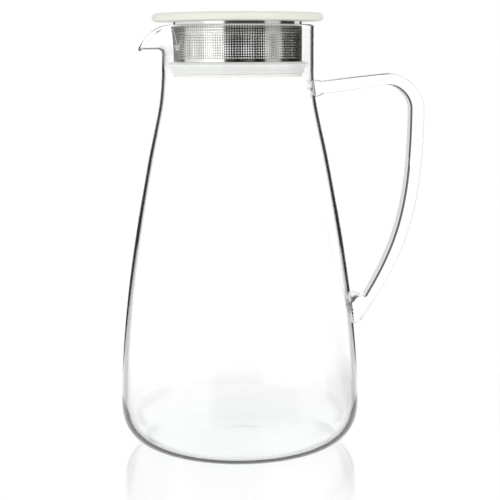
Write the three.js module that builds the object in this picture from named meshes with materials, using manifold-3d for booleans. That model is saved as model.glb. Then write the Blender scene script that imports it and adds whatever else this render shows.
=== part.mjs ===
// Glass pitcher with a pulled pouring lip, a welded rod handle and a lift-out straining lid.
// Millimetres, +Z up. The origin is the centre of the flat base, on the axis of the jug.
// The pouring lip points along -X and the handle along +X.

import * as THREE from 'three';
import { mergeVertices } from 'three/addons/utils/BufferGeometryUtils.js';
import Module from 'manifold-3d';

const wasm = await Module();
wasm.setup();

// Jug body, a blown shell
const baseRadius = 36;
const widestRadius = 66.9;
const widestHeight = 26.5;
const neckRadius = 41.7;
const rimHeight = 234.6;
const neckLength = 26.6;
const glassWall = 2;
const rimWall = 1.15;
const beadThickness = 2.1;
const floorThickness = 3.6;
const baseCornerPowerShare = 2.69;

// Flank outline between the widest ring and the neck: height share, then radius share
const flankShares = [
  [0, 1],
  [0.13, 0.95],
  [0.26, 0.866],
  [0.38, 0.761],
  [0.5, 0.63],
  [0.63, 0.467],
  [0.75, 0.301],
  [0.885, 0.09],
  [0.945, 0.028],
  [1, 0],
];

// Pouring lip, pulled out of the neck
const lipLength = 12.7;
const lipDrop = 14.1;
const lipBend = 3.2;
const lipHalfAngle = THREE.MathUtils.degToRad(29);
const lipOutwardPowerShare = 0.62;
const lipDownwardPowerShare = 1.15;

// Rod handle and its two welds
const handleStandOff = 56.3;
const armRadius = 3.6;
const bendThinRadius = 3.2;
const gripRadius = 4.5;
const footRadius = 3.9;
const upperWeldDrop = 35;
const upperWeldReach = 3.6;
const upperWeldRadius = 4.7;
const upperFlareShare = 0.33;
const armLength = 34;
const armSlope = THREE.MathUtils.degToRad(7.5);
const bendRadius = 16;
const footHeight = 81.8;
const footStandOff = 9.6;
const footSlope = THREE.MathUtils.degToRad(31);
const lowerWeldRadius = 4.5;
const lowerWeldLength = 17;
const lowerWeldBite = 1.7;

// Lid: moulded cover and base plate
const rimGap = 0.9;
const coverOverhang = 5;
const coverThickness = 4.3;
const coverEdgeRadius = 1.9;
const coverSkin = 1.5;
const coverRimWidth = 3.4;
const snapDepth = 0.5;
const snapHeight = 1;
const spigotWall = 1.8;

// Lid: strainer sleeve of perforated sheet
const pourGap = 4.6;
const sleeveHeight = 21.3;
const sleeveWall = 0.4;
const topBorder = 5.5;
const bottomBorder = 1.4;
const holeColumns = 64;
const holeRows = 4;
const seamColumns = 1;
const holeBar = 0.9;

// Lid: gasket and the ring that carries it
const carrierWall = 2;
const carrierFlange = 2;
const grooveDepth = 0.5;
const gasketHeight = 5.9;
const gasketWall = 2.2;
const gasketLipThickness = 0.6;
const gasketLipSlope = 1;
const gasketRootHeight = 2.2;
const wiperKneeOutShare = 0.4;
const wiperKneeUpShare = 0.6;

// Clearance between pieces that touch, and the overrun of a cutter
const seatGap = 0.3;
const overrun = 1;

// Facets
const roundSteps = 40;
const backSteps = 42;
const lipSteps = 14;
const cornerSteps = 6;
const flankSteps = 8;
const neckSteps = 7;
const beadSteps = 4;
const edgeSteps = 3;
const rodSides = 12;
const gripSteps = 16;
const bendSteps = 7;

// Levels and radii that follow from the sizes above
const neckHeight = rimHeight - neckLength;
const lipReach = neckRadius + lipLength;
const handleReach = neckRadius + handleStandOff;
const lowerWeldDepth = footStandOff - footRadius + lowerWeldBite;
const neckBore = neckRadius - glassWall;
const coverBottom = rimHeight + rimGap;
const coverTop = coverBottom + coverThickness;
const coverRadius = neckRadius + coverOverhang;
const sleeveTop = coverBottom - seatGap;
const sleeveBottom = sleeveTop - sleeveHeight;
const sleeveRadius = neckBore - pourGap;
const sleeveBore = sleeveRadius - sleeveWall;
const plugRadius = sleeveBore - seatGap;
const gasketTop = sleeveBottom - seatGap;
const gasketBottom = gasketTop - gasketHeight;

const glass = new THREE.MeshStandardMaterial({
  color: 0xe9f2f0,
  roughness: 0.03,
  metalness: 0,
  transparent: true,
  opacity: 0.35,
});
const mouldedPlastic = new THREE.MeshStandardMaterial({ color: 0xe2e3d4, roughness: 0.55, metalness: 0 });
const polishedSteel = new THREE.MeshStandardMaterial({ color: 0xc4c4c0, roughness: 0.18, metalness: 1 });
const silicone = new THREE.MeshStandardMaterial({ color: 0xeeeee8, roughness: 0.6, metalness: 0 });

const mix = THREE.MathUtils.lerp;

// Closed skin over rings of points with equal counts. Neighbouring rings are joined by a band, and
// the first and last ring are each closed by a fan about their middle.
function skinOver(rings) {
  const count = rings[0].length;
  const points = rings.flat();
  const firstMiddle = points.push(middleOf(rings[0])) - 1;
  const lastMiddle = points.push(middleOf(rings.at(-1))) - 1;
  const lastRing = (rings.length - 1) * count;
  const faces = [];
  for (let i = 0; i < count; i += 1) {
    const next = (i + 1) % count;
    for (let start = 0; start < lastRing; start += count) {
      const above = start + count;
      faces.push(start + i, start + next, above + next, start + i, above + next, above + i);
    }
    faces.push(firstMiddle, next, i, lastMiddle, lastRing + i, lastRing + next);
  }
  const geometry = new THREE.BufferGeometry().setFromPoints(points);
  geometry.setIndex(faces);
  return geometry;
}

function middleOf(ring) {
  const sum = ring.reduce((total, point) => total.add(point), new THREE.Vector3());
  return sum.divideScalar(ring.length);
}

// Revolve a closed outline of [radius, height] points about the Z axis. The outline runs
// anticlockwise: outwards along the bottom, up the outside and back along the top.
function revolve(outline, steps) {
  const points = outline.map(([radius, height]) => new THREE.Vector2(radius, height));
  if (points[0].x > 0) points.push(points[0].clone());
  return new THREE.LatheGeometry(points, steps).rotateX(Math.PI / 2);
}

// Points on a circular arc of an outline, both ends included
function arc(radius, height, size, fromTurn, toTurn, steps) {
  const points = [];
  for (let i = 0; i <= steps; i += 1) {
    const angle = mix(fromTurn, toTurn, i / steps) * 2 * Math.PI;
    points.push([radius + size * Math.cos(angle), height + size * Math.sin(angle)]);
  }
  return points;
}

function toSolid(geometry) {
  const bare = geometry.clone().deleteAttribute('normal').deleteAttribute('uv');
  const merged = mergeVertices(bare);
  const vertProperties = new Float32Array(merged.attributes.position.array);
  const triVerts = new Uint32Array(merged.index.array);
  return new wasm.Manifold(new wasm.Mesh({ numProp: 3, vertProperties, triVerts }));
}

function toGeometry(solid) {
  const mesh = solid.getMesh();
  const geometry = new THREE.BufferGeometry();
  geometry.setAttribute('position', new THREE.BufferAttribute(mesh.vertProperties, 3));
  geometry.setIndex(new THREE.BufferAttribute(mesh.triVerts, 1));
  geometry.computeVertexNormals();
  return geometry;
}

// Rounded corner between the flat base and the widest ring, a quarter of a superellipse
function cornerOutline() {
  const power = 2 / baseCornerPowerShare;
  const points = [];
  for (let i = 0; i <= cornerSteps; i += 1) {
    const angle = (i / cornerSteps) * (Math.PI / 2);
    const across = Math.sin(angle) ** power;
    const up = 1 - Math.cos(angle) ** power;
    points.push([mix(baseRadius, widestRadius, across), widestHeight * up]);
  }
  return points;
}

// Flank from the widest ring to the neck, a spline through the outline's shares
function flankOutline() {
  const knots = flankShares.map(([up, out]) => new THREE.Vector2(
    mix(neckRadius, widestRadius, out),
    mix(widestHeight, neckHeight, up),
  ));
  return new THREE.SplineCurve(knots).getPoints(flankSteps).map((point) => [point.x, point.y]);
}

const outerOutline = [...cornerOutline(), ...flankOutline().slice(1)];

// Outside radius of the jug at a height on its flank or its neck
function outsideRadiusAt(height) {
  const above = outerOutline.findIndex((point) => point[1] >= height);
  if (above < 0) return neckRadius;
  if (above === 0) return baseRadius;
  const [lowRadius, low] = outerOutline[above - 1];
  const [highRadius, high] = outerOutline[above];
  return mix(lowRadius, highRadius, (height - low) / (high - low));
}

// Inside of the body: each outline point moved in along the normal by the wall at its height
function innerOutline() {
  return outerOutline.map(([radius, height], i) => {
    const [beforeRadius, before] = outerOutline[Math.max(i - 1, 0)];
    const [afterRadius, after] = outerOutline[Math.min(i + 1, outerOutline.length - 1)];
    const length = Math.hypot(afterRadius - beforeRadius, after - before);
    const rise = Math.min(height / widestHeight, 1);
    const wall = mix(floorThickness, glassWall, rise);
    if (i === 0) return [radius, floorThickness];
    if (i === outerOutline.length - 1) return [neckBore, height];
    return [
      radius - (wall * (after - before)) / length,
      height + (wall * (afterRadius - beforeRadius)) / length,
    ];
  });
}

// How far the lip is pulled at an angle from its middle: one at the middle, nothing past its half angle
function lipPull(angle) {
  if (Math.abs(angle) >= lipHalfAngle) return 0;
  return Math.cos((angle / lipHalfAngle) * (Math.PI / 2)) ** 2;
}

// Middle line of the neck wall at an angle from the lip, from the neck ring to the rim. Away from
// the lip it is straight. At the lip it bends out into the level floor of the trough.
function neckMiddleLine(angle) {
  const pull = lipPull(angle);
  const outward = pull ** lipOutwardPowerShare;
  const downward = pull ** lipDownwardPowerShare;
  const beadRadius = beadThickness / 2;
  const rootRadius = neckBore + glassWall / 2;
  const floorHeight = rimHeight - lipDrop + rimWall / 2;
  const lipPath = new THREE.CurvePath();
  const root = new THREE.Vector2(rootRadius, neckHeight);
  const bendStart = new THREE.Vector2(rootRadius, floorHeight - lipBend);
  const corner = new THREE.Vector2(rootRadius, floorHeight);
  const bendEnd = new THREE.Vector2(rootRadius + lipBend, floorHeight);
  lipPath.add(new THREE.LineCurve(root, bendStart));
  lipPath.add(new THREE.QuadraticBezierCurve(bendStart, corner, bendEnd));
  lipPath.add(new THREE.LineCurve(bendEnd, new THREE.Vector2(lipReach - beadRadius, floorHeight)));
  const line = [];
  for (let i = 0; i <= neckSteps; i += 1) {
    const share = i / neckSteps;
    const wall = mix(glassWall, rimWall, Math.min(share * 2, 1));
    const straight = new THREE.Vector2(neckBore + wall / 2, mix(neckHeight, rimHeight - beadRadius, share));
    const pulled = lipPath.getPointAt(share);
    const radius = mix(straight.x, pulled.x, outward);
    const height = mix(straight.y, pulled.y, downward);
    line.push({ radius, height, wall });
  }
  return line;
}

// Outline of the jug's wall at one angle from the lip: up the outside, round the rim bead and
// down the inside, without the middles of the base and the floor
function jugOutline(angle) {
  const line = neckMiddleLine(angle);
  const outside = [];
  const inside = [];
  line.forEach(({ radius, height, wall }, i) => {
    const before = line[Math.max(i - 1, 0)];
    const after = line[Math.min(i + 1, line.length - 1)];
    const along = new THREE.Vector2(after.radius - before.radius, after.height - before.height).normalize();
    outside.push([radius + (along.y * wall) / 2, height - (along.x * wall) / 2]);
    inside.push([radius - (along.y * wall) / 2, height + (along.x * wall) / 2]);
    if (i === line.length - 1) outside.push(...rimBead(radius, height, along));
  });
  return [
    ...outerOutline.slice(0, -1),
    ...outside,
    ...inside.reverse(),
    ...innerOutline().slice(0, -1).reverse(),
  ];
}

// Fire-polished bead at the end of the wall. It is flush with the inside and stands proud outside.
function rimBead(radius, height, along) {
  const beadRadius = beadThickness / 2;
  const shift = beadRadius - rimWall / 2;
  const middleRadius = radius + along.y * shift;
  const middleHeight = height - along.x * shift;
  const points = [];
  for (let i = 0; i < beadSteps; i += 1) {
    const angle = (i / beadSteps) * Math.PI;
    const across = beadRadius * Math.cos(angle);
    const onward = beadRadius * Math.sin(angle);
    points.push([
      middleRadius + along.y * across + along.x * onward,
      middleHeight - along.x * across + along.y * onward,
    ]);
  }
  return points;
}

// Angles round the jug from the middle of the lip, closer together across the lip
function jugAngles() {
  const angles = [];
  for (let i = 0; i < lipSteps; i += 1) {
    angles.push(mix(-lipHalfAngle, lipHalfAngle, i / lipSteps));
  }
  for (let i = 0; i < backSteps; i += 1) {
    angles.push(mix(lipHalfAngle, 2 * Math.PI - lipHalfAngle, i / backSteps));
  }
  return angles;
}

function jugBody() {
  const outlines = jugAngles().map((angle) => jugOutline(angle).map(([radius, height]) => new THREE.Vector3(
    -radius * Math.cos(angle),
    -radius * Math.sin(angle),
    height,
  )));
  const rings = outlines[0].map((_, station) => outlines.map((outline) => outline[station]));
  return skinOver(rings);
}

// Ring of points round a rod or weld at a point of the XZ plane. The ring lies across the
// direction, and its half width may differ in the XZ plane and along Y.
function ringAcross(middle, direction, inPlane, alongY) {
  const side = new THREE.Vector3(direction.z, 0, -direction.x);
  const points = [];
  for (let i = 0; i < rodSides; i += 1) {
    const angle = (i / rodSides) * 2 * Math.PI;
    const point = middle.clone().addScaledVector(side, inPlane * Math.cos(angle));
    point.y += alongY * Math.sin(angle);
    points.push(point);
  }
  return points;
}

const armDirection = new THREE.Vector3(Math.cos(armSlope), 0, Math.sin(armSlope));
const footDirection = new THREE.Vector3(-Math.sin(footSlope), 0, -Math.cos(footSlope));

// Middle line of the handle: the arm, a round bend, and the long grip down to the foot
function handlePath() {
  const armHeight = rimHeight - upperWeldDrop;
  const armStart = new THREE.Vector3(outsideRadiusAt(armHeight) + upperWeldReach, 0, armHeight);
  const armEnd = armStart.clone().addScaledVector(armDirection, armLength);
  const gripTop = new THREE.Vector3(handleReach, 0, armEnd.z - bendRadius);
  const foot = new THREE.Vector3(outsideRadiusAt(footHeight) + footStandOff, 0, footHeight);
  const gripDrop = gripTop.z - foot.z;
  const bend = new THREE.CubicBezierCurve3(
    armEnd,
    armEnd.clone().addScaledVector(armDirection, (handleReach - armEnd.x) / 2),
    new THREE.Vector3(handleReach, 0, gripTop.z + bendRadius / 2),
    gripTop,
  );
  const grip = new THREE.CubicBezierCurve3(
    gripTop,
    new THREE.Vector3(handleReach, 0, gripTop.z - gripDrop / 2),
    foot.clone().addScaledVector(footDirection, -gripDrop / 3),
    foot,
  );
  return { armStart, bend, grip };
}

// Rod handle: drawn thin where it bends, thickest at the top of the grip, and thinner at the foot
function handleRod() {
  const { armStart, bend, grip } = handlePath();
  const rings = [ringAcross(armStart, armDirection, armRadius, armRadius)];
  for (let i = 0; i <= bendSteps; i += 1) {
    const share = i / bendSteps;
    const radius = mix(bendThinRadius, gripRadius, share);
    rings.push(ringAcross(bend.getPoint(share), bend.getTangent(share), radius, radius));
  }
  for (let i = 1; i <= gripSteps; i += 1) {
    const share = i / gripSteps;
    const radius = mix(gripRadius, footRadius, share ** 2);
    rings.push(ringAcross(grip.getPoint(share), grip.getTangent(share), radius, radius));
  }
  return skinOver(rings);
}

// Space taken by the jug's flank and neck, swollen by the seat gap, that cuts the welds to the glass
function jugEnvelope() {
  const wall = [...outerOutline, [neckRadius, rimHeight]];
  const outline = wall.map(([radius, height]) => [radius + seatGap, height]);
  return toSolid(revolve([[0, 0], ...outline, [0, rimHeight]], roundSteps * 2));
}

// Upper weld: a short collar that flares from the rod on to the glass
function upperWeld() {
  const { armStart } = handlePath();
  const start = armStart.clone().addScaledVector(armDirection, -seatGap);
  const depths = [0, upperWeldReach / 2, upperWeldReach, upperWeldReach + glassWall];
  const flare = mix(armRadius, upperWeldRadius, upperFlareShare);
  const radii = [armRadius, flare, upperWeldRadius, upperWeldRadius];
  const rings = depths.map((depth, i) => {
    const middle = start.clone().addScaledVector(armDirection, -depth);
    return ringAcross(middle, armDirection, radii[i], radii[i]);
  });
  return toGeometry(toSolid(skinOver(rings.reverse())).subtract(jugEnvelope()));
}

// Lower weld: a gathered pad that fills the corner between the slanting rod and the flank. Each row
// is a share of the pad's length, its reach to the wall, its outer side and its swelling across.
const lowerWeldShares = [
  [0, 0, 1, 0],
  [0.08, 0.8, 1, 0.8],
  [0.35, 1, 1, 1],
  [0.75, 1, 0.9, 0.8],
  [0.93, 1, 0.4, 0.2],
  [1, 1, -0.3, -1],
];

function lowerWeld() {
  const { grip } = handlePath();
  const start = grip.getPoint(1).addScaledVector(footDirection, seatGap);
  const toWall = new THREE.Vector3(footDirection.z, 0, -footDirection.x);
  const rings = lowerWeldShares.map(([along, inward, outward, across]) => {
    const wallSide = footRadius + lowerWeldDepth * inward;
    const openSide = footRadius * outward;
    const middle = start.clone().addScaledVector(footDirection, along * lowerWeldLength);
    middle.addScaledVector(toWall, (wallSide - openSide) / 2);
    const alongY = mix(footRadius, lowerWeldRadius, across);
    return ringAcross(middle, footDirection, (wallSide + openSide) / 2, alongY);
  });
  return toGeometry(toSolid(skinOver(rings)).subtract(jugEnvelope()));
}

const recessRadius = coverRadius - coverRimWidth;
const recessTop = coverTop - coverSkin;
const snapMiddle = (coverBottom + recessTop) / 2;
const coverRound = Math.min(coverEdgeRadius, coverThickness / 2);

// Cover: a round moulded shell with a soft edge and a snap groove in its recess
function lidCover() {
  return revolve([
    [0, recessTop],
    [recessRadius, recessTop],
    [recessRadius, snapMiddle + snapHeight / 2],
    [recessRadius + snapDepth, snapMiddle],
    [recessRadius, snapMiddle - snapHeight / 2],
    [recessRadius, coverBottom],
    ...arc(coverRadius - coverRound, coverBottom + coverRound, coverRound, 0.75, 1, edgeSteps),
    ...arc(coverRadius - coverRound, coverTop - coverRound, coverRound, 0, 0.25, edgeSteps),
    [0, coverTop],
  ], roundSteps);
}

// Base plate: closes the cover from below and carries the strainer on its spigot
function lidBasePlate() {
  const plateRadius = recessRadius - seatGap;
  const plateTop = recessTop - seatGap;
  const spigotBottom = sleeveTop - topBorder;
  return revolve([
    [0, coverBottom],
    [plugRadius - spigotWall, coverBottom],
    [plugRadius - spigotWall, spigotBottom],
    [plugRadius, spigotBottom],
    [plugRadius, coverBottom],
    [plateRadius, coverBottom],
    [plateRadius, snapMiddle - snapHeight / 2],
    [plateRadius + snapDepth, snapMiddle],
    [plateRadius, snapMiddle + snapHeight / 2],
    [plateRadius, plateTop],
    [0, plateTop],
  ], roundSteps);
}

// Strainer sleeve: rolled sheet with plain borders, a grid of square holes and a plain weld seam
function strainerSleeve() {
  const sheet = revolve([
    [sleeveBore, sleeveBottom],
    [sleeveRadius, sleeveBottom],
    [sleeveRadius, sleeveTop],
    [sleeveBore, sleeveTop],
  ], holeColumns).rotateZ(Math.PI / 2);
  const columnAngle = (2 * Math.PI) / holeColumns;
  const columnPitch = sleeveRadius * columnAngle;
  const rowPitch = (sleeveHeight - topBorder - bottomBorder) / holeRows;
  const hole = new THREE.BoxGeometry(sleeveWall + 2 * overrun, columnPitch - holeBar, rowPitch - holeBar);
  let solid = toSolid(sheet);
  for (let column = 0; column < holeColumns - seamColumns; column += 1) {
    const angle = (column + seamColumns + 0.5) * columnAngle;
    for (let row = 0; row < holeRows; row += 1) {
      const height = sleeveBottom + bottomBorder + (row + 0.5) * rowPitch;
      const cutter = hole.clone().translate(sleeveRadius, 0, height).rotateZ(angle);
      solid = solid.subtract(toSolid(cutter));
    }
  }
  return toGeometry(solid);
}

// Carrier ring: pressed into the foot of the sleeve, with a groove and a flange for the gasket
function gasketCarrier() {
  const bore = plugRadius - carrierWall;
  const flangeBottom = gasketBottom - seatGap - carrierFlange;
  return revolve([
    [bore, flangeBottom],
    [sleeveRadius + seatGap, flangeBottom],
    [sleeveRadius + seatGap, gasketBottom - seatGap],
    [plugRadius - grooveDepth, gasketBottom - seatGap],
    [plugRadius - grooveDepth, sleeveBottom],
    [plugRadius, sleeveBottom],
    [plugRadius, sleeveBottom + bottomBorder],
    [bore, sleeveBottom + bottomBorder],
  ], roundSteps);
}

// Gasket: a soft ring with one wiper lip that reaches out to the bore of the neck
function siliconeGasket() {
  const bore = plugRadius - grooveDepth + seatGap;
  const outside = bore + gasketWall;
  const tip = neckBore - seatGap;
  const tipTop = gasketTop - gasketLipSlope;
  const tipBottom = tipTop - gasketLipThickness;
  const rootHeight = gasketBottom + gasketRootHeight;
  return revolve([
    [bore, gasketBottom],
    [outside, gasketBottom],
    [outside, rootHeight],
    [mix(outside, tip, wiperKneeOutShare), mix(rootHeight, tipBottom, wiperKneeUpShare)],
    [tip, tipBottom],
    [tip, tipTop],
    [outside, gasketTop],
    [bore, gasketTop],
  ], roundSteps);
}

const pitcher = new THREE.Group();

function addPiece(name, geometry, material) {
  const mesh = new THREE.Mesh(geometry, material);
  mesh.name = name;
  pitcher.add(mesh);
}

addPiece('jug_body', jugBody(), glass);
addPiece('handle_rod', handleRod(), glass);
addPiece('upper_handle_weld', upperWeld(), glass);
addPiece('lower_handle_weld', lowerWeld(), glass);
addPiece('lid_cover', lidCover(), mouldedPlastic);
addPiece('lid_base_plate', lidBasePlate(), mouldedPlastic);
addPiece('strainer_sleeve', strainerSleeve(), polishedSteel);
addPiece('gasket_carrier', gasketCarrier(), mouldedPlastic);
addPiece('silicone_gasket', siliconeGasket(), silicone);

export default pitcher;
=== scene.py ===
"""Clear glass pitcher with a pulled lip, a rod handle and a lift-out straining lid.

Metres, +Z up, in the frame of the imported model: the origin is the centre of the flat base, the lip
points along -X and the handle along +X. Sizes are written in millimetres and turned to metres by MM.
"""

import math

import bmesh
import bpy
import numpy as np
from mathutils import Matrix, Vector


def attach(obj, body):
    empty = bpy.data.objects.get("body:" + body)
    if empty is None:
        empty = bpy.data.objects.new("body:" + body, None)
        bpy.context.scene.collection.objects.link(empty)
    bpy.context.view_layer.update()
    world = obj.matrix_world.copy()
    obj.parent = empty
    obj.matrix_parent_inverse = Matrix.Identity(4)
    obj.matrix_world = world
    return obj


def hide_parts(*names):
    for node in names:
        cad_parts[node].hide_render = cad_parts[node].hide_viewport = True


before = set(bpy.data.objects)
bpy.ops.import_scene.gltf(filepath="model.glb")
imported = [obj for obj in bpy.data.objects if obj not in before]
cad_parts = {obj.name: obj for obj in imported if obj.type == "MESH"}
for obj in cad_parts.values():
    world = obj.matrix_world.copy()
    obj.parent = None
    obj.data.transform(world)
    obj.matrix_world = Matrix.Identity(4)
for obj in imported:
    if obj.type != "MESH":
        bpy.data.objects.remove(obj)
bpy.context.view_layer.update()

MM = 0.001
TURN = 2 * math.pi

# Jug body. The polished edge of the rim ends 1 mm below the rim of the solid. FLOOR_RINGS are shares
# of the radius at which the skin has rings under and over the floor.
BASE_RADIUS = 36 * MM
WIDEST_RADIUS = 66.9 * MM
WIDEST_HEIGHT = 26.5 * MM
NECK_RADIUS = 41.7 * MM
NECK_HEIGHT = 208 * MM
RIM_HEIGHT = 234.6 * MM
RIM_EDGE = RIM_HEIGHT - 1 * MM
GLASS_WALL = 2 * MM
NECK_BORE = NECK_RADIUS - GLASS_WALL
FLOOR_THICKNESS = 3.6 * MM
CORNER_POWER = 2.69
PUNT_RADIUS = 31 * MM
PUNT_RISE = 0.9 * MM
FLOOR_RISE = 0.6 * PUNT_RISE
FLOOR_RINGS = np.linspace(0.12, 1, 9)[:-1, None]

# Flank above the widest ring: (share of the height, share of the way out from the neck's radius)
FLANK = np.array([
    [0, 1], [0.13, 0.95], [0.26, 0.866], [0.38, 0.761], [0.5, 0.63],
    [0.63, 0.467], [0.75, 0.301], [0.885, 0.09], [0.945, 0.028], [1, 0],
])

# Pouring lip, and the columns of the skin in the lip and round the rest
LIP_REACH = 54.4 * MM
LIP_DROP = 14.1 * MM
LIP_BEND = 3.2 * MM
LIP_WALL = 1.15 * MM
LIP_HALF = math.radians(40)
LIP_SIDE_POWER = 4
LIP_OUT_POWER = 1.05
LIP_DOWN_POWER = 1.95
LIP_COLUMNS = 60
BACK_COLUMNS = 180

# Rod handle
HANDLE_REACH = 98 * MM
ARM_RADIUS = 3.6 * MM
BEND_THIN = 3.2 * MM
GRIP_RADIUS = 4.5 * MM
FOOT_RADIUS = 3.9 * MM
ARM_LENGTH = 34 * MM
ARM_SLOPE = math.radians(7.5)
BEND_RADIUS = 16 * MM
FOOT_HEIGHT = 81.8 * MM
FOOT_STAND_OFF = 9.6 * MM
FOOT_SLOPE = math.radians(31)
FOOT_SINK = 1.5 * MM
ARM_STEPS = 59
BEND_STEPS = 26
GRIP_STEPS = 64

# Welds: the collar of the arm and its dent in the wall, and the pad at the foot
UPPER_DROP = 35 * MM
UPPER_REACH = 3.6 * MM
UPPER_RADIUS = 4.7 * MM
UPPER_SINK = 1.4 * MM
COLLAR_POWER = 0.6
DENT_DEPTH = 0.7 * MM
DENT_SPREAD = 4.2 * MM
LOWER_RADIUS = 4.5 * MM
LOWER_LENGTH = 17 * MM
LOWER_DEPTH = 7.4 * MM
WELD_SINK = 0.9 * MM
SLIVER = 0.003 * MM

# Shares of the pad's length, of its reach to the wall, of its open side and of its swelling across
PAD_ROWS = np.array([
    [-0.06, -0.1, 0.9, -0.5], [0, 0, 1, 0], [0.08, 0.8, 1, 0.8], [0.35, 1, 1, 1],
    [0.75, 1, 0.9, 0.8], [0.93, 1, 0.4, 0.2], [1, 1, -0.3, -1],
])

# Lid. Pieces that the solids keep SEAT apart stand TOUCH apart here where no light should pass.
SEAT = 0.3 * MM
TOUCH = 0.04 * MM
COVER_RADIUS = 46.7 * MM
COVER_BOTTOM = 235.5 * MM
COVER_TOP = 239.8 * MM
COVER_EDGE = 1.9 * MM
COVER_RIM = 3.4 * MM
COVER_SKIN = 1.5 * MM
ROOF = COVER_TOP - COVER_SKIN
SNAP_HEIGHT = (COVER_BOTTOM + ROOF) / 2
SNAP_BEAD = 0.5 * MM
ROOF_CORNER = 0.3 * MM
MOUTH_CORNER = 0.2 * MM
PLATE_CORNER = 0.3 * MM
SLEEVE_TOP = COVER_BOTTOM - SEAT
SLEEVE_BOTTOM = SLEEVE_TOP - 21.3 * MM
SLEEVE_RADIUS = 35.1 * MM
SLEEVE_WALL = 0.4 * MM
SLEEVE_HEM = 0.1 * MM
SPIGOT_LENGTH = 5.5 * MM
SPIGOT_WALL = 1.8 * MM
MESH_COLUMNS = 164
MESH_ROWS = 14
MESH_BAR = 0.5 * MM
MESH_BORDER = 1.4 * MM
PLUG_RADIUS = SLEEVE_RADIUS - SLEEVE_WALL - SEAT
CARRIER_WALL = 2 * MM
CARRIER_FLANGE = 2 * MM
CARRIER_CORNER = 0.35 * MM
GROOVE = 0.5 * MM
GASKET_TOP = SLEEVE_BOTTOM - SEAT
GASKET_BOTTOM = GASKET_TOP - 5.9 * MM
GASKET_WALL = 2.2 * MM
GASKET_CORNER = 0.4 * MM
WIPER_ROOT = GASKET_BOTTOM + 2.2 * MM
WIPER_TOP = GASKET_TOP - 1 * MM
WIPER_THICKNESS = 0.6 * MM

# Camera: lens and sensor in mm. It stands in front of the object, tipped 8.77 degrees down.
LENS, SENSOR = 93.15, 36
EYE = (6.15 * MM, -716.07 * MM, 219.9 * MM)
TILT, ROLL = math.radians(90 - 8.77), math.radians(-0.3)

# Room. Stops are (degrees round the room, strength of the light there), 0 towards the camera and
# 180 behind the object. EDGE_GAP is the dark gap beside the backdrop that draws the glass's sides.
# MIRRORED is what the steel mirrors, SHEEN what the outside of the glass mirrors, BENT what solid
# glass bends into view and TURNED_BACK what is turned back inside a wall.
EDGE_GAP = [(146, 1.0), (149, 0.03), (165, 0.03), (168, 1.0)]
EDGE_GAP_LEFT = [(-angle, level) for angle, level in reversed(EDGE_GAP)]
MIRRORED = [
    (-180, 1.0), (-169, 1.0), (-166, 0.05), (-150, 0.1), (-109, 0.1),
    (-101, 1.1), (-64, 1.3), (-58, 1.7), (-26, 1.7), (-20, 0.1), (-4, 0.02), (2, 0.0),
    (12, 0.06), (25, 0.15), (31, 0.0), (47, 0.0), (52, 0.7), (79, 0.6), (85, 0.0),
    (160, 0.03), (169, 0.05), (173, 1.0), (180, 1.0),
]
SHEEN = [
    (-180, 1.0), *EDGE_GAP_LEFT, (-64, 1.1), (-58, 1.5), (-26, 1.5), (-20, 0.15), (0, 0.08),
    (47, 0.1), (52, 0.8), (79, 0.8), (85, 0.05), (120, 0.05), (125, 1.0), *EDGE_GAP, (180, 1.0),
]
BENT = [
    (-180, 1.12), (-60, 1.12), (0, 1.0), (60, 0.8), (137, 0.74), (141, 0.9), (143, 0.09),
    (155, 0.09), (158, 1.12), (180, 1.12),
]
TURNED_BACK = [
    (-180, 1.0), *EDGE_GAP_LEFT, (-100, 1.0), (-60, 0.3), (0, 0.2), (60, 0.3), (85, 0.1),
    (110, 0.1), (120, 1.0), *EDGE_GAP, (180, 1.0),
]
BRIGHTEST = 4.0
CLEAR_GAIN = 1.2
MATT_LIGHT = 0.58

# Table: how far it lies under the base, its own glow for matt surfaces and for all else, and where
# round the base it begins to turn into the white room and where it has become white
TABLE_RADIUS = 1.5
TABLE_CORNERS = 96
TABLE_GAP = 0.2 * MM
TABLE_WHITE = 0.97
TABLE_GLOSS = 0.45
TABLE_ROUGHNESS = 0.12
MATT_GLOW, SEEN_GLOW = 0.3, 0.165
WHITE_FROM, WHITE_TO = 0.1, 0.24


# Surfaces

def new_piece(name, points, faces, smooth=True):
    """Mesh object at the origin from an (n, 3) array of points and a list of faces."""
    mesh = bpy.data.meshes.new(name)
    mesh.from_pydata(points.tolist(), [], faces)
    mesh.validate()
    if smooth:
        mesh.polygons.foreach_set("use_smooth", np.ones(len(mesh.polygons), bool))
    mesh.update()
    piece = bpy.data.objects.new(name, mesh)
    bpy.context.scene.collection.objects.link(piece)
    return piece


def ring_faces(rings, count):
    """Quads between rings of count points that follow each other in one flat list. Every ring is
    closed."""
    start = (np.arange(rings - 1) * count)[:, None]
    here = np.arange(count)
    ahead = (here + 1) % count
    quads = np.stack([start + here, start + ahead, start + ahead + count, start + here + count], -1)
    return quads.reshape(-1, 4)


def skin(name, grid):
    """Closed skin over grid[ring, point, xyz]: quads between the rings, and at either end a fan about
    the middle of the last ring."""
    rings, count, _ = grid.shape
    points = np.vstack([grid.reshape(-1, 3), grid[0].mean(0), grid[-1].mean(0)])
    here = np.arange(count)
    ahead = (here + 1) % count
    pole, top = np.full(count, rings * count), (rings - 1) * count
    first = np.stack([pole, ahead, here], -1)
    last = np.stack([pole + 1, top + here, top + ahead], -1)
    faces = ring_faces(rings, count).tolist() + first.tolist() + last.tolist()
    return new_piece(name, points, faces)


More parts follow.
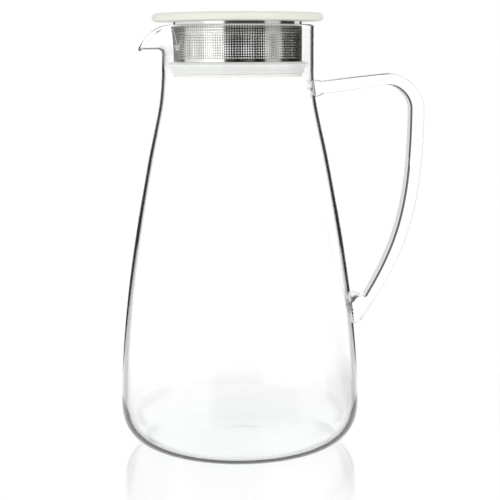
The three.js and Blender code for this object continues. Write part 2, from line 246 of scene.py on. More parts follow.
def lathe(name, outline, turns):
    """Surface of revolution: (r, z) -> (r cos t, r sin t, z), t = 2 pi k / turns. The outline is
    closed on itself as a ring, or runs from axis to axis, level at both ends, where it closes in a
    fan about the axis."""
    from_axis = outline[0, 0] == 0
    r, z = (outline[1:-1] if from_axis else outline).T[..., None]
    t = np.arange(turns) / turns * TURN
    grid = np.stack(np.broadcast_arrays(r * np.cos(t), r * np.sin(t), z), -1)
    if from_axis:
        return skin(name, grid)
    points = grid.reshape(-1, 3)
    return new_piece(name, points, (ring_faces(len(r) + 1, turns) % len(points)).tolist())


def arc(r, z, size, start, end, steps):
    """Arc of an outline about (r, z): angles start to end in turns, both ends included."""
    a = np.linspace(start, end, steps + 1) * TURN
    return np.stack([r + size * np.cos(a), z + size * np.sin(a)], -1)


def softened(corners, size, steps=4):
    """Closed outline whose corners are rounded: each corner becomes a quadratic curve that starts and
    ends size away from it along its two sides, or 0.45 of a side where the side is short."""
    corners = np.asarray(corners, float)
    before, after = np.roll(corners, 1, 0) - corners, np.roll(corners, -1, 0) - corners
    a, b = (
        side * np.minimum(size / np.linalg.norm(side, axis=1), 0.45)[:, None]
        for side in (before, after)
    )
    s = np.linspace(0, 1, steps + 1)[:, None]
    return (corners[:, None] + a[:, None] * (1 - s) ** 2 + b[:, None] * s ** 2).reshape(-1, 2)


def catmull_rom(knots, steps):
    """Uniform Catmull-Rom curve through the knots, steps + 1 points."""
    last = len(knots) - 1
    u = np.linspace(0, last, steps + 1)
    k = np.minimum(u.astype(int), last - 1)
    w = (u - k)[:, None]
    p0, p1 = knots[np.maximum(k - 1, 0)], knots[k]
    p2, p3 = knots[k + 1], knots[np.minimum(k + 2, last)]
    v0, v1 = (p2 - p0) / 2, (p3 - p1) / 2
    cubic, square = 2 * p1 - 2 * p2 + v0 + v1, -3 * p1 + 3 * p2 - 2 * v0 - v1
    return cubic * w ** 3 + square * w ** 2 + v0 * w + p1


def bezier(p, steps):
    """Cubic Bezier points and unit tangents."""
    s = np.linspace(0, 1, steps + 1)[:, None]
    q = 1 - s
    place = p[0] * q ** 3 + 3 * p[1] * s * q ** 2 + 3 * p[2] * s ** 2 * q + p[3] * s ** 3
    slope = 3 * (p[1] - p[0]) * q ** 2 + 6 * (p[2] - p[1]) * s * q + 3 * (p[3] - p[2]) * s ** 2
    return place, unit(slope)


def unit(v):
    """Vectors scaled to length one."""
    return v / np.linalg.norm(v, axis=-1, keepdims=True)


def tube(name, middle, along, radii, sides=28):
    """Skin of a bar: point = middle + in-plane radius * side * cos a + across radius * Y * sin a, with
    side at right angles to the path in the XZ plane. Radii are one number a station, or both."""
    a = np.arange(sides) / sides * TURN
    side = np.stack([along[:, 2], np.zeros(len(along)), -along[:, 0]], -1)
    radii = np.broadcast_to(radii.reshape(len(middle), -1), (len(middle), 2))
    grid = middle[:, None] + side[:, None] * (radii[:, :1] * np.cos(a))[..., None]
    grid[..., 1] += radii[:, 1:] * np.sin(a)
    return skin(name, grid)


# Jug

def outer_outline():
    """(r, z) from the edge of the flat base to the neck: a quarter superellipse, then the flank's
    spline."""
    a = np.linspace(0, math.pi / 2, 29)
    power = 2 / CORNER_POWER
    r = BASE_RADIUS + (WIDEST_RADIUS - BASE_RADIUS) * np.sin(a) ** power
    z = WIDEST_HEIGHT * (1 - np.maximum(np.cos(a), 0) ** power)
    corner = np.stack([r, z], -1)
    r = NECK_RADIUS + (WIDEST_RADIUS - NECK_RADIUS) * FLANK[:, 1]
    z = WIDEST_HEIGHT + (NECK_HEIGHT - WIDEST_HEIGHT) * FLANK[:, 0]
    flank = catmull_rom(np.stack([r, z], -1), 54)
    return np.vstack([corner, flank[1:]])


OUTER = outer_outline()


def outside_radius(z):
    """Outside radius of the jug at a height."""
    return np.interp(z, OUTER[:, 1], OUTER[:, 0])


def inner_outline():
    """The outer outline moved in along its normal by the wall, which thickens towards the floor."""
    along = np.gradient(OUTER, axis=0)
    along[0] = (1, 0)
    along[-1] = (0, 1)
    along = unit(along)
    rise = np.minimum(OUTER[:, 1] / WIDEST_HEIGHT, 1)
    wall = FLOOR_THICKNESS + (GLASS_WALL - FLOOR_THICKNESS) * rise
    return OUTER + np.stack([-along[:, 1], along[:, 0]], -1) * wall[:, None]


def punt(r):
    """Smooth dome (1 - (r/R)^2)^2 inside PUNT_RADIUS, zero outside."""
    return np.maximum(1 - (r / PUNT_RADIUS) ** 2, 0) ** 2


def lip_line(steps=25):
    """Middle line (r, z) of the wall through the middle of the lip: straight up the neck, a quadratic
    bend, and a level trough out to the tip."""
    foot_r, trough_z = NECK_BORE + GLASS_WALL / 2, RIM_HEIGHT - LIP_DROP + LIP_WALL / 2
    root, corner = np.array([foot_r, NECK_HEIGHT]), np.array([foot_r, trough_z])
    start, end = corner - (0, LIP_BEND), corner + (LIP_BEND, 0)
    tip = np.array([LIP_REACH - GLASS_WALL / 2, trough_z])
    s = np.linspace(0, 1, steps)[:, None]
    bend = start * (1 - s) ** 2 + 2 * corner * s * (1 - s) + end * s ** 2
    return np.vstack([root + (start - root) * s, bend[1:], (end + (tip - end) * s)[1:]])


def neck_middle(pull, steps):
    """Middle line of the neck wall, (angle, station, rz), and its thickness, for the pull p of the lip
    at each angle. It is (1 - p^a) straight + p^a lip in r, and the same with p^b in z. The wall thins
    with the pull over the lower half of the neck."""
    lip = lip_line()
    run = np.concatenate([[0], np.cumsum(np.linalg.norm(np.diff(lip, axis=0), axis=1))])
    share = np.linspace(0, 1, steps + 1)
    lip_r, lip_z = (np.interp(share * run[-1], run, line) for line in lip.T)
    out, down = pull[:, None] ** LIP_OUT_POWER, pull[:, None] ** LIP_DOWN_POWER
    wall = GLASS_WALL + (LIP_WALL - GLASS_WALL) * np.minimum(share * 2, 1) * out
    straight_r = NECK_BORE + wall / 2
    straight_z = NECK_HEIGHT + (RIM_EDGE - GLASS_WALL / 2 - NECK_HEIGHT) * share
    r = straight_r + (lip_r - straight_r) * out
    z = straight_z + (lip_z - straight_z) * down
    return np.stack([r, z], -1), wall


def turned(outline, t):
    """Stations (r, z), in one row or in a row for each angle t from the lip, as points
    (-r cos t, -r sin t, z)."""
    r, z = np.moveaxis(np.broadcast_to(outline, (len(t), *outline.shape[-2:])), -1, 0)
    return np.stack([-r * np.cos(t)[:, None], -r * np.sin(t)[:, None], z], -1)


def neck_wall(t, pull, steps=44, rim_steps=10):
    """Outside, rounded rim and inside of the neck, (angle, station, xyz): the middle surface moved
    half the wall along its normal. The rim is a half circle as thick as the neck, which stands proud
    outside where the lip is thinner."""
    middle, wall = neck_middle(pull, steps)
    middle = turned(middle, t)
    round_way = np.roll(middle, -1, 0) - np.roll(middle, 1, 0)
    up_way = unit(np.gradient(middle, axis=1))
    out = unit(np.cross(round_way, up_way))
    half = (wall / 2)[..., None]
    outside, inside = middle + out * half, middle - out * half
    b = GLASS_WALL / 2
    end, fore, side = middle[:, -1:], up_way[:, -1:], out[:, -1:]
    start = -np.minimum(np.arccos(np.clip(wall[:, -1:] / b - 1, 0, 1)), math.pi / 4)
    a = (start + (math.pi - start) * np.arange(rim_steps + 1) / rim_steps)[..., None]
    rim = end + side * (b - half[:, -1:]) + b * (side * np.cos(a) + fore * np.sin(a))
    return np.concatenate([outside[:, :-1], rim, inside[:, -2::-1]], 1)


def jug_shell():
    """The jug as one closed skin of stations (r, z) carried round the axis, with the pulled neck
    between the outside and the inside. The pull of the lip is cos^p of the angle from its middle.
    Both walls sink by a Gaussian dent where the upper end of the handle was fused."""
    lip = np.linspace(-LIP_HALF, LIP_HALF, LIP_COLUMNS, endpoint=False)
    back = np.linspace(LIP_HALF, TURN - LIP_HALF, BACK_COLUMNS, endpoint=False)
    t = np.concatenate([lip, back])
    lip_pull = np.cos(lip / LIP_HALF * math.pi / 2) ** LIP_SIDE_POWER
    pull = np.concatenate([lip_pull, np.zeros(BACK_COLUMNS)])
    inner = inner_outline()
    base_r, floor_r = FLOOR_RINGS * BASE_RADIUS, FLOOR_RINGS[::-1] * inner[0, 0]
    base = np.hstack([base_r, PUNT_RISE * punt(base_r)])
    floor = np.hstack([floor_r, FLOOR_THICKNESS + FLOOR_RISE * punt(floor_r)])
    below = np.vstack([base, OUTER[:-1]])
    inside = np.vstack([inner[:-1][::-1], floor])
    grid = np.concatenate([turned(below, t), neck_wall(t, pull), turned(inside, t)], 1)
    across = (t[:, None] - math.pi) * NECK_RADIUS
    above = grid[..., 2] - RIM_HEIGHT + UPPER_DROP
    dent = DENT_DEPTH * np.exp(-(across ** 2 + above ** 2) / (2 * DENT_SPREAD ** 2))
    grid[..., :2] *= (1 - dent / np.hypot(grid[..., 0], grid[..., 1]))[..., None]
    return skin("jug_glass", grid.transpose(1, 0, 2))


ARM = np.array([math.cos(ARM_SLOPE), 0, math.sin(ARM_SLOPE)])
FOOT = np.array([-math.sin(FOOT_SLOPE), 0, -math.cos(FOOT_SLOPE)])
ARM_HEIGHT = RIM_HEIGHT - UPPER_DROP
ARM_START = np.array([outside_radius(ARM_HEIGHT) + UPPER_REACH, 0, ARM_HEIGHT])
ARM_END = ARM_START + ARM * ARM_LENGTH
GRIP_TOP = np.array([HANDLE_REACH, 0, ARM_END[2] - BEND_RADIUS])
FOOT_END = np.array([outside_radius(FOOT_HEIGHT) + FOOT_STAND_OFF, 0, FOOT_HEIGHT])


def handle_bar():
    """Arm, bend and grip as one bar. Its radius thins along the arm with the cube of the way, swells
    through the bend by a smooth step, and thins again down the grip with the square of the way. The
    arm ends in a flared collar, sunk into the wall."""
    reach = (HANDLE_REACH - ARM_END[0]) / 2
    drop = GRIP_TOP[2] - FOOT_END[2]
    bend, bend_way = bezier([
        ARM_END, ARM_END + ARM * reach, GRIP_TOP + (0, 0, BEND_RADIUS / 2), GRIP_TOP,
    ], BEND_STEPS)
    grip, grip_way = bezier([
        GRIP_TOP, GRIP_TOP - (0, 0, drop / 2), FOOT_END - FOOT * drop / 3, FOOT_END,
    ], GRIP_STEPS)
    s = np.linspace(-UPPER_REACH - UPPER_SINK, ARM_LENGTH, ARM_STEPS + 1)[:-1]
    arm = ARM_START + ARM * s[:, None]
    collar = (UPPER_RADIUS - ARM_RADIUS) * np.clip(-s / UPPER_REACH, 0, 1) ** COLLAR_POWER
    thinning = (BEND_THIN - ARM_RADIUS) * np.clip(s / ARM_LENGTH, 0, 1) ** 3
    k = np.linspace(0, 1, BEND_STEPS + 1)
    bend_r = BEND_THIN + (GRIP_RADIUS - BEND_THIN) * k * k * (3 - 2 * k)
    k = np.linspace(0, 1, GRIP_STEPS + 1)
    grip_r = GRIP_RADIUS + (FOOT_RADIUS - GRIP_RADIUS) * k ** 2
    middle = np.vstack([arm, bend, grip[1:], FOOT_END + FOOT * FOOT_SINK])
    along = np.vstack([np.repeat(ARM[None], len(arm), 0), bend_way, grip_way[1:], FOOT])
    radii = np.concatenate([ARM_RADIUS + collar + thinning, bend_r, grip_r[1:], [FOOT_RADIUS]])
    return tube("handle_bar", middle, along, radii)


def lower_pad():
    """Pad of glass between the slanting foot and the flank: a spline through PAD_ROWS gives its
    station, its two sides and its width. Points past the wall are brought back to a surface just
    inside the glass."""
    rows = catmull_rom(PAD_ROWS, 48)
    to_wall = np.array([FOOT[2], 0, -FOOT[0]])
    wall_side = FOOT_RADIUS + LOWER_DEPTH * rows[:, 1]
    open_side = FOOT_RADIUS * rows[:, 2]
    middle = FOOT_END + FOOT * (rows[:, :1] * LOWER_LENGTH)
    middle = middle + to_wall * ((wall_side - open_side) / 2)[:, None]
    across = FOOT_RADIUS + (LOWER_RADIUS - FOOT_RADIUS) * rows[:, 3]
    radii = np.stack([(wall_side + open_side) / 2, across], -1)
    pad = tube("lower_pad", middle, np.repeat(FOOT[None], len(rows), 0), radii, 36)
    points = mesh_points(pad.data)
    r = np.hypot(points[:, 0], points[:, 1])
    least = outside_radius(points[:, 2]) - WELD_SINK
    points[:, :2] *= (np.maximum(r, least) / np.maximum(r, 1e-9))[:, None]
    pad.data.vertices.foreach_set("co", points.ravel())
    pad.data.update()
    return pad


def mesh_points(mesh):
    """Points of a mesh as an (n, 3) array."""
    points = np.empty(len(mesh.vertices) * 3)
    mesh.vertices.foreach_get("co", points)
    return points.reshape(-1, 3)


def fuse(name, first, *others):
    """Boolean union of closed skins as a new piece. The skins are used up."""
    for other in others:
        step = first.modifiers.new("fuse", "BOOLEAN")
        step.operation, step.object, step.solver = "UNION", other, "MANIFOLD"
    depsgraph = bpy.context.evaluated_depsgraph_get()
    mesh = bpy.data.meshes.new_from_object(first.evaluated_get(depsgraph))
    for used in (first, *others):
        bpy.data.objects.remove(used)
    return new_piece(name, *without_slivers(mesh))


def without_slivers(mesh):
    """Points and triangles of a mesh. Points closer than SLIVER, which a union leaves where two skins
    cross at a shallow angle, are merged, and triangles back to back on the same points are left out."""
    net = bmesh.new()
    net.from_mesh(mesh)
    bmesh.ops.triangulate(net, faces=net.faces)
    bmesh.ops.dissolve_degenerate(net, edges=net.edges, dist=SLIVER)
    bmesh.ops.triangulate(net, faces=net.faces)
    net.to_mesh(mesh)
    net.free()
    corners = np.empty(len(mesh.loops), np.int32)
    mesh.loops.foreach_get("vertex_index", corners)
    corners = corners.reshape(-1, 3)
    _, place, count = np.unique(
        np.sort(corners, 1), axis=0, return_inverse=True, return_counts=True,
    )
    kept = corners[count[place.ravel()] == 1]
    used, renumbered = np.unique(kept, return_inverse=True)
    return mesh_points(mesh)[used], renumbered.reshape(-1, 3).tolist()


# Lid

def lid_cover():
    """Moulded cover: a disc with a soft edge, open below round the base plate, with a snap groove."""
    recess, disc = COVER_RADIUS - COVER_RIM, COVER_RADIUS - COVER_EDGE
    outline = np.vstack([
        [[0, ROOF], [recess * 0.5, ROOF], [recess - ROOF_CORNER, ROOF], [recess, ROOF - ROOF_CORNER]],
        [[recess, SNAP_HEIGHT + SNAP_BEAD], [recess + SNAP_BEAD, SNAP_HEIGHT]],
        [[recess, SNAP_HEIGHT - SNAP_BEAD], [recess, COVER_BOTTOM + MOUTH_CORNER]],
        [[recess + MOUTH_CORNER, COVER_BOTTOM]],
        arc(disc, COVER_BOTTOM + COVER_EDGE, COVER_EDGE, 0.75, 1, 9),
        arc(disc, COVER_TOP - COVER_EDGE, COVER_EDGE, 0, 0.25, 9),
        [[COVER_RADIUS * share, COVER_TOP] for share in (0.9, 0.7, 0.4, 0.1, 0)],
    ])
    return lathe("lid_cover_shell", outline, 192)


def lid_base_plate():
    """Base plate with its snap bead and its spigot, all edges softened. The softened corners on the
    axis are left out."""
    plate, bore = COVER_RADIUS - COVER_RIM - TOUCH, PLUG_RADIUS - SPIGOT_WALL
    spigot, top = SLEEVE_TOP - SPIGOT_LENGTH, ROOF - SEAT
    outline = softened([
        [0, COVER_BOTTOM], [bore, COVER_BOTTOM], [bore, spigot], [PLUG_RADIUS, spigot],
        [PLUG_RADIUS, COVER_BOTTOM], [plate, COVER_BOTTOM], [plate, SNAP_HEIGHT - SNAP_BEAD],
        [plate + SNAP_BEAD, SNAP_HEIGHT], [plate, SNAP_HEIGHT + SNAP_BEAD], [plate, top], [0, top],
    ], PLATE_CORNER, 3)
    outline = outline[outline[:, 0] > 2 * PLATE_CORNER]
    return lathe("lid_base", np.vstack([[0, COVER_BOTTOM], outline, [0, top]]), 160)


def strainer():
    """Rolled sheet with a grid of square holes. Columns are angles t and rows heights z, three a cell:
    its edge and the two sides of its hole. The outside and the inside are joined by the walls of the
    holes and at both ends."""
    step = TURN / MESH_COLUMNS
    bar_t, bar_z = MESH_BAR / SLEEVE_RADIUS / 2, MESH_BAR / 2
    t = (np.arange(MESH_COLUMNS)[:, None] * step + np.array([0, bar_t, step - bar_t])).ravel()
    low, high, crest = SLEEVE_BOTTOM + MESH_BORDER, SLEEVE_TOP - MESH_BORDER, COVER_BOTTOM - TOUCH
    pitch = (high - low) / MESH_ROWS
    cells = low + np.arange(MESH_ROWS)[:, None] * pitch + np.array([0, bar_z, pitch - bar_z])
    below = [SLEEVE_BOTTOM, SLEEVE_BOTTOM + SLEEVE_HEM]
    above = [high, high + MESH_BORDER / 2, crest - SLEEVE_HEM, crest]
    z = np.concatenate([below, cells.ravel(), above])
    across, up = len(t), len(z)
    points = np.vstack([
        np.stack(np.broadcast_arrays(
            radius * np.cos(t)[:, None], radius * np.sin(t)[:, None], z,
        ), -1).reshape(-1, 3)
        for radius in (SLEEVE_RADIUS, SLEEVE_RADIUS - SLEEVE_WALL)
    ])
    i, j = np.meshgrid(np.arange(across), np.arange(up - 1), indexing="ij")
    row, line = np.divmod(j - len(below), 3)
    hole = (i % 3 == 1) & (line == 1) & (row >= 0) & (row < MESH_ROWS)
    a, b = i * up + j, (i + 1) % across * up + j
    inward = across * up
    outer = np.stack([a, b, b + 1, a + 1], -1)[~hole]
    inner = outer[:, ::-1] + inward
    a, b = a[hole], b[hole]
    foot, top = np.arange(across) * up, up - 1
    next_foot = np.roll(foot, -1)
    walls = [np.stack([p, p + inward, q + inward, q], -1) for p, q in (
        (b, a), (b + 1, b), (a + 1, b + 1), (a, a + 1),
        (foot, next_foot), (next_foot + top, foot + top),
    )]
    faces = np.vstack([outer, inner, *walls])
    return new_piece("strainer_mesh", points, faces.tolist(), smooth=False)


def gasket_carrier():
    """Ring pressed into the foot of the sleeve, with a groove and a flange."""
    bore, groove, edge = PLUG_RADIUS - CARRIER_WALL, PLUG_RADIUS - GROOVE, SLEEVE_RADIUS + SEAT
    flange, top = GASKET_BOTTOM - TOUCH, SLEEVE_BOTTOM + MESH_BORDER
    foot = flange - CARRIER_FLANGE
    return lathe("carrier_ring", softened([
        [bore, foot], [edge, foot], [edge, flange], [groove, flange],
        [groove, SLEEVE_BOTTOM], [PLUG_RADIUS, SLEEVE_BOTTOM], [PLUG_RADIUS, top], [bore, top],
    ], CARRIER_CORNER), 128)


def gasket():
    """Soft ring that tapers on the outside to one thin wiper lip at the bore of the neck."""
    bore, tip, top = PLUG_RADIUS - GROOVE + SEAT, NECK_BORE - SEAT, SLEEVE_BOTTOM - TOUCH
    outside, under = bore + GASKET_WALL, WIPER_TOP - WIPER_THICKNESS
    knee = [outside + 0.4 * (tip - outside), WIPER_ROOT + 0.6 * (under - WIPER_ROOT)]
    return lathe("gasket_ring", softened([
        [bore, GASKET_BOTTOM], [outside, GASKET_BOTTOM], [outside, WIPER_ROOT], knee,
        [tip, under], [tip, WIPER_TOP], [outside, top], [bore, top],
    ], GASKET_CORNER, 5), 160)


# Materials

def shader(name):
    """Empty node material, and the helper that fills it."""
    material = bpy.data.materials.new(name)
    material.use_nodes = True
    return material, Nodes(material.node_tree)


class Nodes:
    """Short way to write node trees: add(type, props, **sockets), where a socket's value is a constant
    or an output socket. An underscore in a socket's name is a blank, and i2 is the third input."""

    def __init__(self, tree):
        self.tree = tree
        tree.nodes.clear()

    def add(self, kind, props=None, out=0, **values):
        """New node with its properties and its sockets set. Gives back one of its outputs."""
        node = self.tree.nodes.new(kind)
        for key, value in (props or {}).items():
            setattr(node, key, value)
        for key, value in values.items():
            self.put(node, key.replace("_", " "), value)
        return node.outputs[out]

    def put(self, node, key, value):
        """Sets an input to a constant, or links it to an output."""
        socket = node.inputs[int(key[1:])] if key[1:].isdigit() else node.inputs[key]
        if isinstance(value, bpy.types.NodeSocket):
            self.tree.links.new(value, socket)
        else:
            socket.default_value = value

    def math(self, op, a, b=0.0, c=0.0):
        """a op b, or a op b op c."""
        return self.add("ShaderNodeMath", {"operation": op}, i0=a, i1=b, i2=c)

    def flip(self, value):
        """One minus a value."""
        return self.math("SUBTRACT", 1.0, value)

    def length(self, vector):
        """Length of a vector."""
        return self.add("ShaderNodeVectorMath", {"operation": "LENGTH"}, out=1, i0=vector)

    def noise(self, where, scale, detail=3.0, rough=0.5):
        """Fractal noise, scale waves a metre."""
        return self.add(
            "ShaderNodeTexNoise", Vector=where, Scale=scale, Detail=detail, Roughness=rough,
        )

    def ramp(self, factor, stops):
        """Straight lines between (place, grey or colour) stops."""
        out = self.add("ShaderNodeValToRGB", Fac=factor)
        elements = out.node.color_ramp.elements
        while len(elements) < len(stops):
            elements.new(0.5)
        for element, (place, colour) in zip(elements, stops):
            element.position = place
            element.color = (*np.broadcast_to(colour, 3), 1)
        return out

    def range(self, value, low, high, to_low, to_high):
        """Straight line from to_low at low to to_high at high, level beyond them."""
        return self.add("ShaderNodeMapRange", i0=value, i1=low, i2=high, i3=to_low, i4=to_high)

    def choose(self, factor, one, other):
        """The first value where the factor is 0 and the other where it is 1."""
        return self.add("ShaderNodeMix", {"data_type": "FLOAT"}, Factor=factor, i2=one, i3=other)

    def mix(self, factor, a, b):
        """The first shader where the factor is 0 and the other where it is 1."""
        return self.add("ShaderNodeMixShader", i0=factor, i1=a, i2=b)

    def principled(self, **values):
        """Surface of one material, with the sockets given."""
        return self.add("ShaderNodeBsdfPrincipled", **values)

    def bump(self, height, strength, distance):
        """Normal of a surface raised by a height."""
        return self.add("ShaderNodeBump", Strength=strength, Distance=distance, Height=height)

    def path(self, name):
        """Sign or count of the light path."""
        return self.tree.nodes.new("ShaderNodeLightPath").outputs[name]

    def where(self, name="Object"):
        """Coordinates, of the object in metres if not named."""
        return self.tree.nodes.new("ShaderNodeTexCoord").outputs[name]

    def finish(self, surface, volume=None, output="ShaderNodeOutputMaterial"):
        """Links the surface, and the volume if there is one, to the output."""
        out = self.tree.nodes.new(output)
        self.tree.links.new(surface, out.inputs["Surface"])
        if volume is not None:
            self.tree.links.new(volume, out.inputs["Volume"])


def clear_glass():
    """Borosilicate glass: clear, faintly wavy, with painted shade at its sides: for camera rays its
    colour turns dark grey where the wall is seen edge on. The painted edge shade fades out within
    4 mm beyond the widest ring, so the outer handle has none. Lamps and soft light pass straight
    through."""
    material, n = shader("clear_glass")
    turned_away = n.add("ShaderNodeLayerWeight", out="Facing", Blend=0.5)
    facing = n.math("MULTIPLY", turned_away, n.path("Is Camera Ray"))
    level = n.add("ShaderNodeVectorMath", {"operation": "MULTIPLY"}, i0=n.where(), i1=(1, 1, 0))
    on_jug = n.range(n.length(level), WIDEST_RADIUS, WIDEST_RADIUS + 4 * MM, 1.0, 0.0)
    # Faint green tint of the glass, and painted shade: dark grey where the wall is seen edge on by the
    # camera
    tint_and_edge_shade = n.ramp(n.math("MULTIPLY", facing, on_jug), [
        (0.0, (0.998, 1.0, 0.999)), (0.66, (0.99, 1.0, 0.995)), (0.74, (0.2, 0.22, 0.21)),
        (0.84, (0.2, 0.22, 0.21)), (0.93, (0.95, 0.97, 0.96)),
    ])
    glass = n.principled(
        Base_Color=tint_and_edge_shade, Roughness=0.0, IOR=1.47, Transmission_Weight=1.0,
        Normal=n.bump(n.noise(n.where(), 60.0, 1.0), 0.02, 1 * MM),
    )
    through = n.add("ShaderNodeBsdfTransparent", Color=(0.975, 0.98, 0.978, 1))
    surface = n.mix(n.path("Is Shadow Ray"), n.mix(n.path("Is Diffuse Ray"), glass, through), through)
    n.finish(surface, n.add("ShaderNodeVolumeAbsorption", Color=(0.72, 0.9, 0.84, 1), Density=6.0))
    return material


def cream_plastic():
    """Moulded plastic, cream with a fine satin grain and faint flow shades."""
    material, n = shader("cream_plastic")
    where = n.where()
    n.finish(n.principled(
        Base_Color=n.ramp(n.noise(where, 22.0, 2.0), [
            (0.35, (0.80, 0.80, 0.72)), (0.65, (0.825, 0.825, 0.745)),
        ]),
        Roughness=n.range(n.noise(where, 90.0), 0.3, 0.7, 0.38, 0.48), IOR=1.47,
        Subsurface_Weight=0.12, Subsurface_Radius=(0.004, 0.004, 0.0035), Subsurface_Scale=1.0,
        Normal=n.bump(n.noise(where, 2600.0, 2.0), 0.12, 0.2 * MM),
    ))
    return material


def white_plastic():
    """Moulded ring: nearly white, satin."""
    material, n = shader("white_plastic")
    where = n.where()
    n.finish(n.principled(
        Base_Color=n.ramp(n.noise(where, 40.0, 2.0), [
            (0.35, (0.92, 0.92, 0.89)), (0.65, (0.94, 0.94, 0.91)),
        ]),
        Roughness=0.4, IOR=1.47, Normal=n.bump(n.noise(where, 2400.0, 2.0), 0.08, 0.2 * MM),
    ))
    return material


def white_silicone():
    """Soft silicone: milky and translucent, satin, with a fine haze of moulding grain."""
    material, n = shader("white_silicone")
    where = n.where()
    n.finish(n.principled(
        Base_Color=n.ramp(n.noise(where, 30.0), [
            (0.3, (0.93, 0.93, 0.895)), (0.7, (0.95, 0.95, 0.92)),
        ]),
        Roughness=0.42, IOR=1.41,
        Subsurface_Weight=0.5, Subsurface_Radius=(0.006, 0.006, 0.0055), Subsurface_Scale=1.0,
        Normal=n.bump(n.noise(where, 1500.0), 0.1, 0.3 * MM),
    ))
    return material


def polished_steel():
    """Polished stainless sheet with a faint rolled grain along its length."""
    material, n = shader("polished_steel")
    stretch = n.add("ShaderNodeMapping", Vector=n.where(), Scale=(40.0, 40.0, 2400.0))
    grain = n.noise(stretch, 1.0, 3.0, 0.6)
    n.finish(n.principled(
        Base_Color=n.ramp(grain, [(0.3, (0.66, 0.65, 0.63)), (0.7, (0.72, 0.71, 0.69))]),
        Metallic=1.0, Roughness=n.range(grain, 0.3, 0.7, 0.03, 0.07),
        Normal=n.bump(grain, 0.012, 0.1 * MM),
    ))
    return material


# Stage

def light_way(n):
    """What light met on its way, each 0 or 1: a mirror; no glass yet; more than two faces of glass,
    which is both walls of the hollow jug."""
    passed = n.path("Transmission Depth")
    return (
        n.math("GREATER_THAN", n.path("Glossy Depth"), 0.5),
        n.math("LESS_THAN", passed, 0.5),
        n.math("GREATER_THAN", passed, 2.5),
    )


def room_light(n, x, y, steel_level, sheen_level):
    """Strength of the room as glass and metal see it in the direction (x, y). Light that solid glass
    bends, and light turned back inside a wall, see a white room with black gaps beside the backdrop.
    Mirrors see the lamps: a tall soft light to the left of the camera, a panel to its right and dark
    gaps between them. What steel sees turns white where steel_level is 1, and what glass mirrors where
    sheen_level is 1. Light through both walls of the jug, with no mirror, sees an even room."""
    turn = n.math("ARCTAN2", x, n.math("MULTIPLY", y, -1.0))
    share = n.math("MULTIPLY_ADD", turn, 1 / TURN, 0.5)

    def room(stops):
        """Light round the room. A ramp holds levels up to 1, so they are scaled down and up again."""
        levels = n.ramp(share, [(0.5 + angle / 360, level / BRIGHTEST) for angle, level in stops])
        return n.math("MULTIPLY", levels, BRIGHTEST)

    mirrored = n.choose(steel_level, room(MIRRORED), 1.0)
    sheen = n.choose(sheen_level, room(SHEEN), 1.0)
    turned_back = n.choose(sheen_level, room(TURNED_BACK), 1.0)
    reflected, no_glass, both_walls = light_way(n)
    glimpse = n.choose(reflected, room(BENT), n.choose(no_glass, turned_back, sheen))
    seen = n.choose(n.math("MULTIPLY", reflected, both_walls), glimpse, mirrored)
    return n.choose(n.math("MULTIPLY", n.flip(reflected), both_walls), seen, CLEAR_GAIN)


def studio_world():
    """White to the camera, and the room to glass and metal. Matt surfaces take plain light. With z the
    height of the direction, from -1 to 1, the room turns white for steel below -0.08 and above 0.4, and
    for the sheen of glass above 0.12."""
    world = bpy.data.worlds.new("studio")
    bpy.context.scene.world = world
    world.use_nodes = True
    n = Nodes(world.node_tree)
    x, y, z = n.add("ShaderNodeSeparateXYZ", Vector=n.where("Generated")).node.outputs
    low, high = n.range(z, -0.08, -0.05, 1.0, 0.0), n.range(z, 0.2, 0.4, 0.0, 1.0)
    seen = room_light(n, x, y, n.math("MAXIMUM", low, high), n.range(z, 0.04, 0.12, 0.0, 1.0))
    sharp = n.math("MAXIMUM", n.path("Is Glossy Ray"), n.path("Is Transmission Ray"))
    strength = n.choose(n.path("Is Camera Ray"), n.choose(sharp, MATT_LIGHT, seen), 1.0)
    light = n.add("ShaderNodeBackground", Color=(1, 1, 1, 1), Strength=strength)
    n.finish(light, output="ShaderNodeOutputWorld")


def table_top():
    """Pale glossy table, 3 m across, just under the base. Round the object it is lit, shaded and
    mirrored as any surface. Further off it turns into the same white room as the backdrop."""
    a = np.arange(TABLE_CORNERS) / TABLE_CORNERS * TURN
    height = np.full(TABLE_CORNERS, -TABLE_GAP)
    rim = np.stack([TABLE_RADIUS * np.cos(a), TABLE_RADIUS * np.sin(a), height], -1)
    top = new_piece("table_top", rim, [tuple(range(TABLE_CORNERS))], smooth=False)
    material, n = shader("table_white")
    plain = n.add("ShaderNodeBsdfDiffuse", Color=(TABLE_WHITE, TABLE_WHITE, TABLE_WHITE, 1))
    gloss = n.add("ShaderNodeBsdfGlossy", Color=(1, 1, 1, 1), Roughness=TABLE_ROUGHNESS)
    seen = n.flip(n.path("Is Diffuse Ray"))
    own_glow = n.range(seen, 0.0, 1.0, MATT_GLOW, SEEN_GLOW)
    glow = n.add("ShaderNodeEmission", Color=(1, 1, 1, 1), Strength=own_glow)
    near = n.add("ShaderNodeAddShader", i0=n.mix(TABLE_GLOSS, plain, gloss), i1=glow)
    x, y, _ = n.add("ShaderNodeSeparateXYZ", Vector=n.where()).node.outputs
    as_room = n.choose(n.path("Is Camera Ray"), room_light(n, x, y, 1.0, 0.0), 1.0)
    white = n.add("ShaderNodeEmission", Color=(1, 1, 1, 1), Strength=as_room)
    away = n.range(n.length(n.where()), WHITE_FROM, WHITE_TO, 0.0, 1.0)
    n.finish(n.mix(n.math("MULTIPLY", away, seen), near, white))
    top.data.materials.append(material)


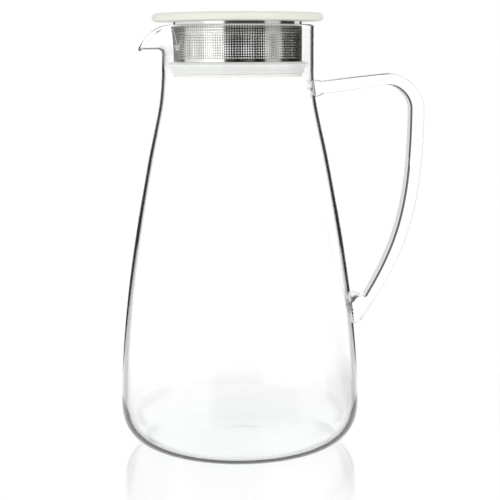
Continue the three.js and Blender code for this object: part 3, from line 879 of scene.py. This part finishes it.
def black_flag(name, start, end, low, high):
    """Narrow black board from (x, y) start to end, low to high, seen only in mirrors behind one wall of
    glass, where it draws the thin dark edges of clear glass."""
    corners = np.array([(*start, low), (*end, low), (*end, high), (*start, high)])
    flag = new_piece(name, corners, [(0, 1, 2, 3)], smooth=False)
    material, n = shader("black_velvet")
    velvet = n.add("ShaderNodeBsdfDiffuse", Color=(0.01, 0.01, 0.01, 1))
    reflected, no_glass, both_walls = light_way(n)
    bare = n.math("MAXIMUM", n.math("MAXIMUM", no_glass, both_walls), n.flip(reflected))
    n.finish(n.mix(bare, velvet, n.add("ShaderNodeBsdfTransparent")))
    flag.data.materials.append(material)
    flag.visible_camera = flag.visible_diffuse = flag.visible_shadow = False


def soft_lamp(name, place, target, size, power):
    """Square area lamp turned to a target, kept out of mirrors, whose lights are in the world."""
    light = bpy.data.lights.new(name, "AREA")
    light.shape, light.size, light.energy = "SQUARE", size, power
    lamp = bpy.data.objects.new(name, light)
    lamp.location = place
    lamp.rotation_euler = (Vector(target) - Vector(place)).to_track_quat("-Z", "Y").to_euler()
    lamp.visible_glossy = lamp.visible_transmission = False
    bpy.context.scene.collection.objects.link(lamp)


def camera():
    """The photograph's view: a long lens, from the front, a little above the middle, tipped down."""
    data = bpy.data.cameras.new("view")
    data.lens, data.sensor_width = LENS, SENSOR
    data.clip_start = 0.05
    eye = bpy.data.objects.new("view", data)
    turn = Matrix.Rotation(TILT, 4, "X") @ Matrix.Rotation(ROLL, 4, "Z")
    eye.matrix_world = Matrix.Translation(EYE) @ turn
    bpy.context.scene.collection.objects.link(eye)
    bpy.context.scene.camera = eye


def dress(piece, material, body, slot, *nodes):
    """Gives a piece its material and its body, and hides the imported parts of the nodes that it
    stands for. The slot is not used.
    """
    piece.data.materials.append(material)
    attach(piece, body)
    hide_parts(*nodes)


camera()
glass = fuse("fused_glass", jug_shell(), handle_bar(), lower_pad())
dress(glass, clear_glass(), "jug", "clear_glass",
      "jug_body", "handle_rod", "upper_handle_weld", "lower_handle_weld")
cream = cream_plastic()
dress(lid_cover(), cream, "lid", "cream_plastic", "lid_cover")
dress(lid_base_plate(), cream, "lid", "cream_plastic", "lid_base_plate")
dress(strainer(), polished_steel(), "lid", "polished_steel", "strainer_sleeve")
dress(gasket_carrier(), white_plastic(), "lid", "white_plastic", "gasket_carrier")
dress(gasket(), white_silicone(), "gasket", "white_silicone", "silicone_gasket")

studio_world()
table_top()
black_flag("lip_flag", start=(-0.108, 0.29), end=(-0.31, 0.11), low=0.2165, high=0.3)
soft_lamp("front_right", place=(0.9, -1.3, 1.0), target=(0, 0, 0.15), size=0.9, power=7)
soft_lamp("front_left", place=(-1.1, -0.9, 0.8), target=(0, 0, 0.12), size=0.7, power=4)

scene = bpy.context.scene
scene.view_settings.view_transform = "Standard"
scene.cycles.max_bounces = 24
scene.cycles.transmission_bounces = 20
scene.cycles.glossy_bounces = 10
scene.cycles.transparent_max_bounces = 24
scene.cycles.use_denoising = True
